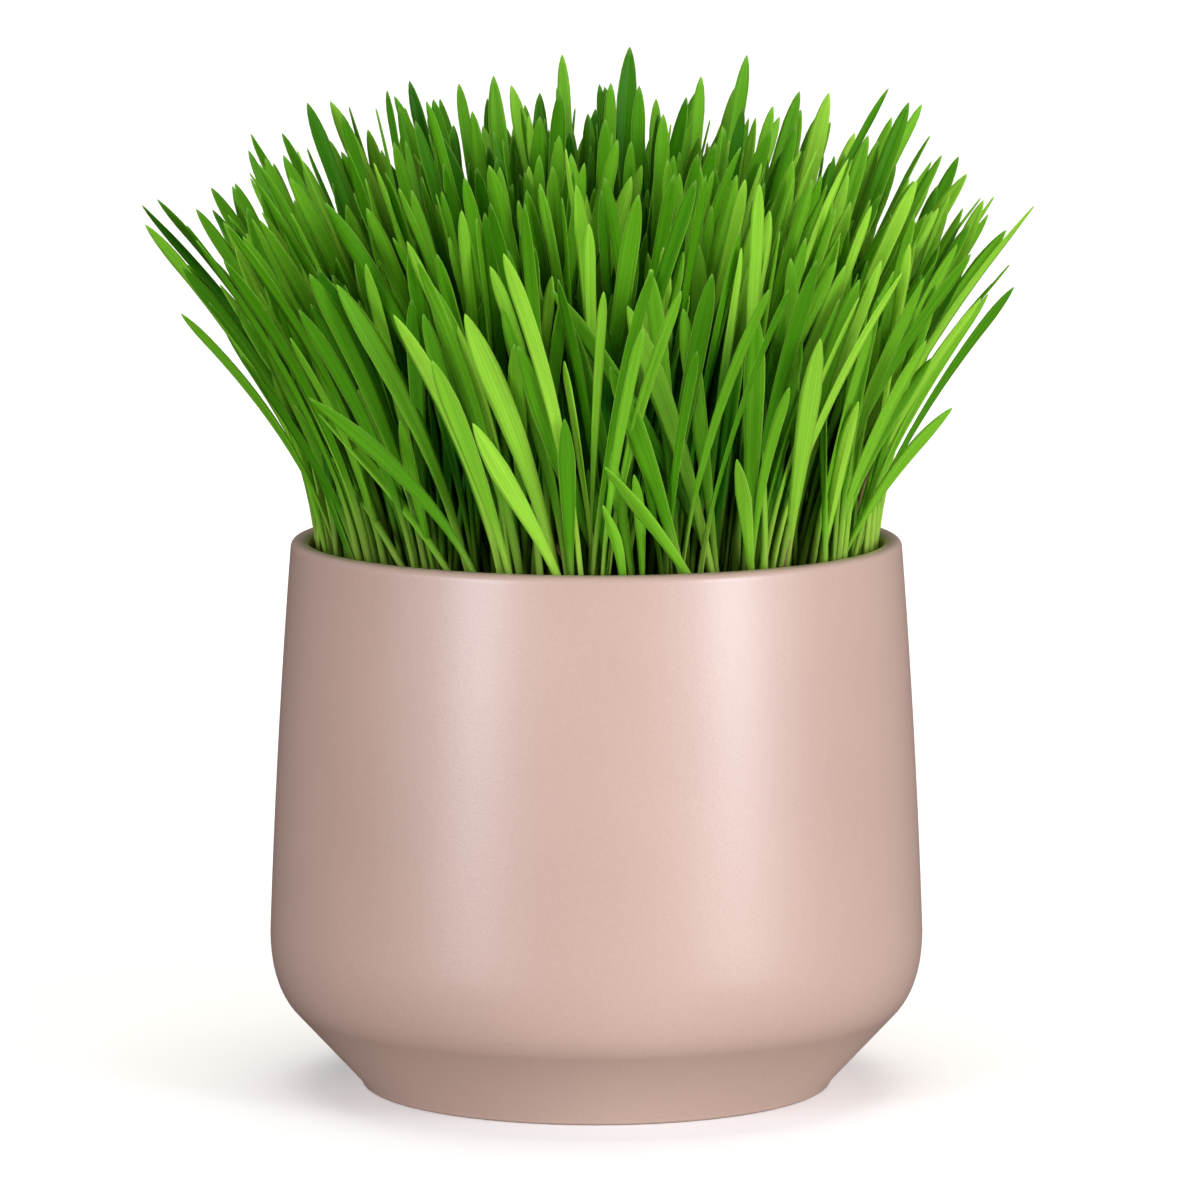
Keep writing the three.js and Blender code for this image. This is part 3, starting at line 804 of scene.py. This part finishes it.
# %% Plants by the wall
WALL_TRIED, WALL_GAP = 900, 0.85
WALL_RING_FROM, WALL_RING_DEPTH = 56.0, 8.6


def plant_by_wall():
    radius = WALL_RING_FROM + WALL_RING_DEPTH * math.sqrt(draws.rand())
    angle = 2 * math.pi * draws.rand()
    foot = on_circle(radius, angle)
    lean = foot / radius * (0.1 + 0.5 * draws.rand()) + np.array([about(0.3), about(0.2)])
    height = 46 + 46 * draws.rand() ** 0.8
    return leaf_from(foot, lean, height, 2.4 + 1.8 * draws.rand(), 0.3 + 0.5 * draws.rand(), about(1.5))


print("plants by the wall:", sow(plant_by_wall, WALL_TRIED, 4, WALL_GAP))

# %% [markdown]
# ## One leaf, modelled once
# A cereal leaf is a sheath rolled round the stem that opens into a long folded blade. The model starts as a
# circle of eight vertices that is extruded upwards ring by ring and closed at the tip: a tube, one unit
# high. Its rings are then given the real section at each height: round at the foot, flat with a keel higher
# up.

# %% The tube
RINGS = 22
AROUND = 8


def leaf_tube():
    start_clean()
    bpy.ops.mesh.primitive_circle_add(vertices=AROUND, radius=1.0, fill_type="NGON", location=(0, 0, 0))
    tube = bpy.context.object
    bpy.ops.object.mode_set(mode="EDIT")
    bpy.ops.mesh.select_all(action="SELECT")
    for _ in range(RINGS):
        bpy.ops.mesh.extrude_region_move(TRANSFORM_OT_translate={"value": (0, 0, 1 / RINGS)})
    bpy.ops.mesh.merge(type="CENTER")
    bpy.ops.mesh.select_all(action="SELECT")
    bpy.ops.mesh.normals_make_consistent(inside=False)
    bpy.ops.object.mode_set(mode="OBJECT")
    return places_and_faces(tube)


tube_places, tube_faces = leaf_tube()
is_tip = tube_places[:, 2] > 1 - 1e-4
ring_of = np.round(tube_places[:, 2] * RINGS).astype(int)
spoke_of = np.where(is_tip, 0, np.round(np.arctan2(tube_places[:, 1], tube_places[:, 0])
                                        / (2 * math.pi / AROUND)).astype(int) % AROUND)
print("leaf tube:", len(tube_places), "vertices,", len(tube_faces), "faces")

# %% [markdown]
# The rings crowd towards the tip, where the outline turns fastest. Two rules give the width. From the
# sheath it grows slowly over three quarters of the height. Towards the tip it closes in a pointed arch that
# is nearly two and a half times as long as the leaf is wide, so a short leaf and a tall one get tips of one
# kind. The blade is folded along its middle, with a keel on the underside, and the fold opens a little
# towards the tip.

# %% Width and fold along the leaf
ROOT_DEPTH = 3.0
share_of_ring = np.array([1 - (1 - i / RINGS) ** 1.6 for i in range(RINGS + 1)])
WIDTH_AT = [0.0, 0.15, 0.3, 0.45, 0.6, 0.75, 1.0]
WIDTH_IS = [0.34, 0.34, 0.42, 0.62, 0.86, 1.0, 1.0]
CLOSES_AT = [0.0, 0.06, 0.29, 0.59, 0.88, 1.18, 1.47, 1.76, 2.06, 2.4]
CLOSES_TO = [0.0, 0.1, 0.3, 0.48, 0.62, 0.73, 0.81, 0.88, 0.94, 1.0]
OPENING_FROM, OPENING_TO = 12.0, 36.0
SHEATH_DEPTH = 1.9
LEAF_THICKNESS = 0.34
BOX_LOW, BOX_HIGH = np.array(cad_low) / MM + 0.02, np.array(cad_high) / MM - 0.02
spoke_x = np.array([1.0, 0.55, 0.0, -0.55, -1.0, -0.55, 0.0, 0.55])
spoke_face = np.array([0.0, 1.0, 1.0, 1.0, 0.0, -1.0, -1.0, -1.0])
round_x = np.cos(np.arange(AROUND) * 2 * math.pi / AROUND)
round_y = np.sin(np.arange(AROUND) * 2 * math.pi / AROUND)


def smooth_step(x, low, high):
    t = np.clip((x - low) / (high - low), 0, 1)
    return t * t * (3 - 2 * t)


def leaf_places(blade):
    """The tube's vertices laid along one blade's middle line, in millimetres."""
    share = share_of_ring[ring_of]
    height = blade["tip"][2] - SOIL_TOP
    share_down = share - (ROOT_DEPTH / height) * (1 - share) ** 4
    middle = middle_at(blade, share_down)
    slope = np.gradient(middle_at(blade, share_of_ring), share_of_ring, axis=0)
    slope /= np.linalg.norm(slope, axis=1)[:, None]
    along = slope[ring_of]
    turn = blade["turn"] + blade["twist"] * share + blade["curl"] * np.sin(share * 3.0)
    level = np.column_stack([np.cos(turn), np.sin(turn), np.zeros_like(turn)])
    across = level - (level * along).sum(1)[:, None] * along
    across /= np.linalg.norm(across, axis=1)[:, None]
    front = np.cross(across, along)
    wander = blade["sway"] * np.sin(share * 5 + blade["phase"]) * share
    middle = middle + level * wander[:, None]
    opened = smooth_step(share * height, OPENING_FROM, OPENING_TO)
    closing = np.interp((1 - share) * height / blade["width"], CLOSES_AT, CLOSES_TO)
    half = blade["width"] / 2 * np.interp(share, WIDTH_AT, WIDTH_IS) * closing
    fold = blade["fold"] * (1 - 0.4 * smooth_step(share, 0.4, 1.0))
    flat_x = spoke_x[spoke_of] * half
    flat_y = np.abs(spoke_x[spoke_of]) * half * fold + spoke_face[spoke_of] * LEAF_THICKNESS / 2
    keel = (spoke_of == 6) * 0.35 * (1 - share)
    flat_y = (flat_y - keel) * np.where(is_tip, 0, 1)
    tube_x = round_x[spoke_of] * half
    tube_y = round_y[spoke_of] * SHEATH_DEPTH / 2
    x = tube_x + (flat_x - tube_x) * opened
    y = tube_y + (flat_y - tube_y) * opened
    places = middle + across * x[:, None] + front * y[:, None]
    return np.clip(places, BOX_LOW, BOX_HIGH)


# %% [markdown]
# ## The leaf's finish
# A young cereal leaf is thin, waxy and ribbed with fine veins from foot to tip. Light comes through it, so
# a lit leaf glows yellow-green and a shaded one is deep green. The sheath is paler than the blade, the
# margins and the very tip paler still. The map runs across the leaf in U and along it in V. One attribute
# gives each leaf its tone, from deep green to yellow-green, which is partly its own colour and partly
# painted light. The other says how much light comes down to each place: deep inside the head it mixes the
# colour towards a dim green, as painted shade added to the shadows that the lights cast.

# %% Waxy leaf
def waxy_leaf():
    material, tree = new_material("waxy_cereal_leaf")
    spot = add_node(tree, "UVMap", {"uv_map": "leaf"}).outputs[0]
    split = add_node(tree, "SeparateXYZ", _0=spot)
    across, along = split.outputs[0], split.outputs[1]
    tone = add_node(tree, "Attribute", {"attribute_name": "leaf_tone"}).outputs["Fac"]
    green = ramp(tree, tone, [(0.0, "#327a06"), (0.35, "#5aa412"), (0.7, "#82c82c"), (1.0, "#a8e244")])
    at_foot = add_node(tree, "MapRange", Value=along, From_Min=0.0, From_Max=0.4, To_Min=0.88, To_Max=0.0)
    footed = add_node(tree, "Mix", {"data_type": "RGBA"}, _0=at_foot.outputs[0], _6=green,
                      _7=linear("#c4d864"))
    at_tip = add_node(tree, "MapRange", Value=along, From_Min=0.98, From_Max=1.0, To_Max=0.2)
    tipped = add_node(tree, "Mix", {"data_type": "RGBA"}, _0=at_tip.outputs[0],
                      _6=footed.outputs[2], _7=linear("#cdea8c"))
    streak_place = add_node(tree, "CombineXYZ", _0=across, _1=along, _2=tone)
    streak_size = add_node(tree, "VectorMath", {"operation": "MULTIPLY"},
                           _0=streak_place.outputs[0], _1=(7.0, 1.6, 31.0))
    streaks = add_node(tree, "TexNoise", Vector=streak_size.outputs[0], Scale=1.0, Detail=2.0)
    streak_light = add_node(tree, "MapRange", Value=streaks.outputs["Fac"], From_Min=0.3,
                            From_Max=0.7, To_Min=0.87, To_Max=1.09)
    vein_place = add_node(tree, "CombineXYZ", _0=across)
    veins = add_node(tree, "TexWave", {"bands_direction": "X"}, Vector=vein_place.outputs[0], Scale=2.2)
    vein_light = add_node(tree, "MapRange", Value=veins.outputs["Fac"], To_Min=0.91, To_Max=1.04)
    fine_light = add_node(tree, "Math", {"operation": "MULTIPLY"}, _0=streak_light.outputs[0],
                          _1=vein_light.outputs[0])
    veined = add_node(tree, "VectorMath", {"operation": "SCALE"}, _0=tipped.outputs[2],
                      Scale=fine_light.outputs[0])
    edge = add_node(tree, "Math", {"operation": "PINGPONG"}, _0=across, _1=0.5)
    margin = add_node(tree, "MapRange", Value=edge.outputs[0], From_Min=0.0, From_Max=0.09,
                      To_Min=0.85, To_Max=0.0)
    margined = add_node(tree, "Mix", {"data_type": "RGBA"}, _0=margin.outputs[0],
                        _6=veined.outputs[0], _7=linear("#a6da50"))
    # Painted shade: where little light comes down, the colour is mixed towards a dim green, olive at the
    # foot.
    reached = add_node(tree, "Attribute", {"attribute_name": "leaf_light"}).outputs["Fac"]
    shade = add_node(tree, "MapRange", Value=reached, To_Min=0.1, To_Max=1.0)
    dim = ramp(tree, along, [(0.0, "#587216"), (0.4, "#1c6c05")])
    painted_shade_colour = add_node(tree, "Mix", {"data_type": "RGBA"}, _0=shade.outputs[0], _6=dim,
                     _7=margined.outputs[2])
    rib = add_node(tree, "Bump", Strength=0.2, Distance=0.08 * MM, Height=streaks.outputs["Fac"])
    surface = add_node(tree, "BsdfPrincipled", Base_Color=painted_shade_colour.outputs[2], Roughness=0.42,
                       IOR=1.4, Specular_IOR_Level=0.15, Normal=rib.outputs[0])
    lit = add_node(tree, "Mix", {"data_type": "RGBA", "blend_type": "MULTIPLY"},
                   _0=1.0, _6=painted_shade_colour.outputs[2], _7=linear("#fff2a0"))
    through = add_node(tree, "BsdfTranslucent", Color=lit.outputs[2])
    mixed = add_node(tree, "MixShader", _0=0.35, _1=surface.outputs[0], _2=through.outputs[0])
    return surfaced(material, mixed)


leaf_material = waxy_leaf()

# %% [markdown]
# ## The tufts
# Every leaf is a copy of the tube with its own places. The leaves of a tuft are one mesh, as they are one
# solid in the frame, and each keeps its own tone. The shading is smooth but for the edges along the middle
# fold, which are marked sharp: so each half of a leaf has its own shade, as folded leaves have.

# %% Laying the leaves
uv_across = np.array([1.0, 0.75, 0.5, 0.25, 0.0, 0.25, 0.5, 0.75])
CREASE_FROM_RING = 5
LIT_SPREAD, DIMS_FROM_SIDE, DIMS_FROM_TOP = 0.28, (3, 15), (0, 34)


def give_character(blade):
    """What differs from leaf to leaf and the solids don't say."""
    outward = np.hypot(*blade["tip"][:2]) / 100
    blade.setdefault("fold", 0.18 + 0.36 * draws.rand())
    blade.setdefault("curl", about(0.6))
    blade["sway"] = about(0.9)
    blade["phase"] = 6.28 * draws.rand()
    # The tone is partly the leaf's own colour, drawn at random, and partly painted light: a leaf at the
    # front is drawn bright more often, and leaves farther out and to the right are made yellower, as they
    # are lit more.
    painted_as_lit = draws.rand() < 0.1 + 0.12 * float(smooth_step(-blade["tip"][1], 0, 60))
    drawn = 0.72 + 0.28 * draws.rand() if painted_as_lit else 0.7 * draws.rand()
    side = blade["tip"][0] / 750
    blade.setdefault("tone", float(np.clip(drawn + 0.12 * outward + side, 0, 1)))


# The leaves' colour is darkened by this as painted shade, on top of the shadows that the lights cast.
def light_reached(places):
    """How much light comes down to places in the head, from 0 deep inside to 1 at its outside."""
    radius = np.hypot(places[:, 0], places[:, 1])
    side = HEAD_RADIUS + LIT_SPREAD * (places[:, 2] - POT_HEIGHT) - radius
    top = SOIL_TOP + crown_height(radius) - places[:, 2]
    buried = smooth_step(side, *DIMS_FROM_SIDE) * smooth_step(top, *DIMS_FROM_TOP)
    return 1 - buried


def tuft_mesh(blades):
    places, faces, tones, lights = [], [], [], []
    for number, blade in enumerate(blades):
        places.append(leaf_places(blade) * MM)
        faces += [tuple(i + number * len(tube_places) for i in face) for face in tube_faces]
        tones += [blade["tone"]] * len(tube_places)
        lights.append(light_reached(places[-1] / MM))
    mesh = bpy.data.meshes.new("tuft")
    mesh.from_pydata(np.vstack(places).tolist(), [], faces)
    loops = np.array([loop.vertex_index for loop in mesh.loops]) % len(tube_places)
    spots = np.column_stack([uv_across[spoke_of[loops]], share_of_ring[ring_of[loops]]])
    mesh.uv_layers.new(name="leaf").data.foreach_set("uv", spots.ravel())
    mesh.attributes.new("leaf_tone", "FLOAT", "POINT").data.foreach_set("value", tones)
    mesh.attributes.new("leaf_light", "FLOAT", "POINT").data.foreach_set("value", np.concatenate(lights))
    mesh.polygons.foreach_set("use_smooth", [True] * len(mesh.polygons))
    ends = np.array([edge.vertices[:] for edge in mesh.edges]) % len(tube_places)
    lengthwise = spoke_of[ends[:, 0]] == spoke_of[ends[:, 1]]
    creased = lengthwise & np.isin(spoke_of[ends[:, 0]], (2, 6)) & (ring_of[ends].min(1) >= CREASE_FROM_RING)
    mesh.attributes.new("sharp_edge", "BOOLEAN", "EDGE").data.foreach_set("value", creased)
    mesh.materials.append(leaf_material)
    return mesh


for node, blades in tufts.items():
    for blade in blades:
        give_character(blade)
    piece = bpy.data.objects.new("leaves", tuft_mesh(blades))
    bpy.context.scene.collection.objects.link(piece)
    finish_piece(piece, node.replace("grass_tuft", "leaves_of_tuft"), "grass_leaf", node)
print("leaves in all:", sum(len(blades) for blades in tufts.values()))

# %% [markdown]
# ## Dry sheaths
# The first sheath of each seedling dries up when the leaf has pushed through it. A few stand as straw-brown
# scraps among the stems. They are the same leaf, short, narrow and curled, in the straw finish.

# %% Dry sheaths among the stems
SHEATHS_DRAWN = 34


def dry_sheath():
    radius = 44 + 16 * math.sqrt(draws.rand())
    angle = 2 * math.pi * draws.rand()
    foot = on_circle(radius, angle)
    lean = np.array([about(0.4), about(0.3)]) + foot / radius * 0.1
    scrap = leaf_from(foot, lean, 16 + 18 * draws.rand(), 0.8 + 0.6 * draws.rand(), 0.4, about(1.5))
    give_character(scrap)
    scrap.update(fold=0.9, curl=about(2.0))
    return scrap


scraps = [dry_sheath() for _ in range(SHEATHS_DRAWN)]
scraps = [s for s in scraps if np.hypot(*middle_at(s, [0.6])[0][:2]) < LIP_REACH - 1]
piece = merged_piece([leaf_places(s) for s in scraps], tube_faces, straw)
finish_piece(piece, "dry_sheaths", "grass_leaf")

# %% [markdown]
# ## The floor
# Product photos are taken on a seamless white sweep. Here that is one large plane with a faint glow that
# grows with the distance, so it runs out to clean white behind the pot while the soft shadow at the foot
# stays. The light that a real floor sends back to the pot is part of the room's light below, where it can
# be set evenly.

# %% Floor
FLOOR_GLOW = (0.17, 0.36)


def plain_floor():
    material, tree = new_material("plain_matt_floor")
    place = add_node(tree, "TexCoord").outputs["Object"]
    haze = add_node(tree, "TexNoise", Vector=place, Scale=2.0)
    colour = ramp(tree, haze.outputs["Fac"], [(0.3, "#f4f4f4"), (0.7, "#f6f6f6")])
    away = add_node(tree, "VectorMath", {"operation": "LENGTH"}, _0=place)
    glow = add_node(tree, "MapRange", Value=away.outputs["Value"], From_Min=0.3, From_Max=0.9,
                    To_Min=FLOOR_GLOW[0], To_Max=FLOOR_GLOW[1])
    surface = add_node(tree, "BsdfPrincipled", Base_Color=colour, Roughness=0.9,
                       Emission_Color=colour, Emission_Strength=glow.outputs[0])
    return surfaced(material, surface)


start_clean()
bpy.ops.mesh.primitive_plane_add(size=40, location=(0, 0, 0))
floor = bpy.context.object
floor.name = "floor"
floor.data.materials.append(plain_floor())
floor.visible_diffuse = False
floor.visible_glossy = False
floor.visible_shadow = False

# %% [markdown]
# ## The lights
# The two soft bands of shine on the glaze come from upright soft boxes, one to each side of the camera.
# Each is made of four narrow boxes side by side with their own power, so that the band fades at its edges
# as behind a large diffuser. A wide box on the right fills the wall between the bands, and a broad light
# from high up reaches the tops of the leaves. That one and the room are warm and the boxes are a little
# cool, so the glaze is pinker in its shine than beside it.

# %% Lights
WARM, COOL = (1.0, 0.953, 0.885), (0.83, 0.884, 1.0)
AIMED_AT = (0, 0, 0.1)


def around(azimuth, distance, height):
    """A place at an angle to the right of the camera's side, in degrees, and metres."""
    angle = math.radians(azimuth)
    return (distance * math.sin(angle), -distance * math.cos(angle), height)


def add_panel(name, place, size, power):
    light = bpy.data.lights.new(name, "AREA")
    light.shape, light.size, light.size_y, light.energy = "RECTANGLE", size[0], size[1], power
    light.color = COOL
    holder = bpy.data.objects.new(name, light)
    holder.location = place
    aim = Vector(AIMED_AT) - Vector(place)
    holder.rotation_euler = aim.to_track_quat("-Z", "Y").to_euler()
    holder.visible_camera = False
    bpy.context.scene.collection.objects.link(holder)


SOFT_BOXES = [(-72, 1.56), (-50, 3.5), (-42, 6.3), (-34, 2.8), (46, 6.4), (54, 5.1), (62, 1.2), (72, 1.3)]
for azimuth, power in SOFT_BOXES:
    add_panel(f"soft_box_at_{azimuth}", around(azimuth, 1.4, 0.36), (0.22, 0.7), power)
add_panel("wide_soft_box", around(40, 2.2, 0.3), (1.5, 0.58), 6.4)
sun = bpy.data.lights.new("high_light", "SUN")
sun.energy, sun.angle, sun.color = 1.44, math.radians(50), WARM
high = bpy.data.objects.new("high_light", sun)
high.rotation_euler = (math.radians(-15), 0, 0)
bpy.context.scene.collection.objects.link(high)

# %% [markdown]
# ## The room
# Ceiling, floor and walls send light back from all sides. One even background would make the pot look flat,
# so the world's strength is a sum of soft lobes, each strongest in one direction: the ceiling, the floor in
# front of the pot, the front wall, the left wall and the right wall. The standard view transform keeps the
# leaves as saturated as they are in the photo, where a filmic one would grey them.

# %% Walls, ceiling and the floor's bounce
world = bpy.data.worlds.new("studio")
world.use_nodes = True
tree = world.node_tree
way = add_node(tree, "TexCoord").outputs["Generated"]


def lobe(direction, strength, power):
    """Light that comes mostly from one direction, the more so the higher the power."""
    facing = add_node(tree, "VectorMath", {"operation": "DOT_PRODUCT"}, _0=way, _1=direction)
    clear = add_node(tree, "Math", {"operation": "MAXIMUM"}, _0=facing.outputs["Value"], _1=0.0)
    narrow = add_node(tree, "Math", {"operation": "POWER"}, _0=clear.outputs[0], _1=power)
    return add_node(tree, "Math", {"operation": "MULTIPLY"}, _0=narrow.outputs[0], _1=strength).outputs[0]


LOBES = [((0, 0, 1), 0.53, 1.0), ((0.15, -0.72, -0.68), 0.87, 3.0), ((0.17, -0.98, 0), 0.39, 2.0),
         ((-1, 0, 0), 0.12, 2.0), ((1, 0, 0), 0.57, 2.0)]
total = None
for direction, strength, power in LOBES:
    part = lobe(direction, strength, power)
    total = add_node(tree, "Math", {"operation": "ADD"}, _0=part, _1=total or 0.0).outputs[0]
backing = tree.nodes["Background"]
backing.inputs["Color"].default_value = (*WARM, 1.0)
tree.links.new(total, backing.inputs["Strength"])
bpy.context.scene.world = world
bpy.context.scene.view_settings.view_transform = "Standard"

# %% [markdown]
# ## The camera
# A long lens, nearly two metres away and looking down by a few degrees, shows the pot's sides nearly
# upright and its lip as a thin ellipse. The numbers come from fitting lip, belly and foot to the photo.

# %% Camera
CAMERA_PLACE = (0.84, -1793.3, 349.5)
CAMERA_PITCH = 7.525
CAMERA_LENS = 235.1
camera = bpy.data.cameras.new("camera")
camera.sensor_width, camera.lens = 36.0, CAMERA_LENS
viewer = bpy.data.objects.new("camera", camera)
viewer.location = [v * MM for v in CAMERA_PLACE]
viewer.rotation_euler = (math.radians(90 - CAMERA_PITCH), 0, 0)
bpy.context.scene.collection.objects.link(viewer)
bpy.context.scene.camera = viewer
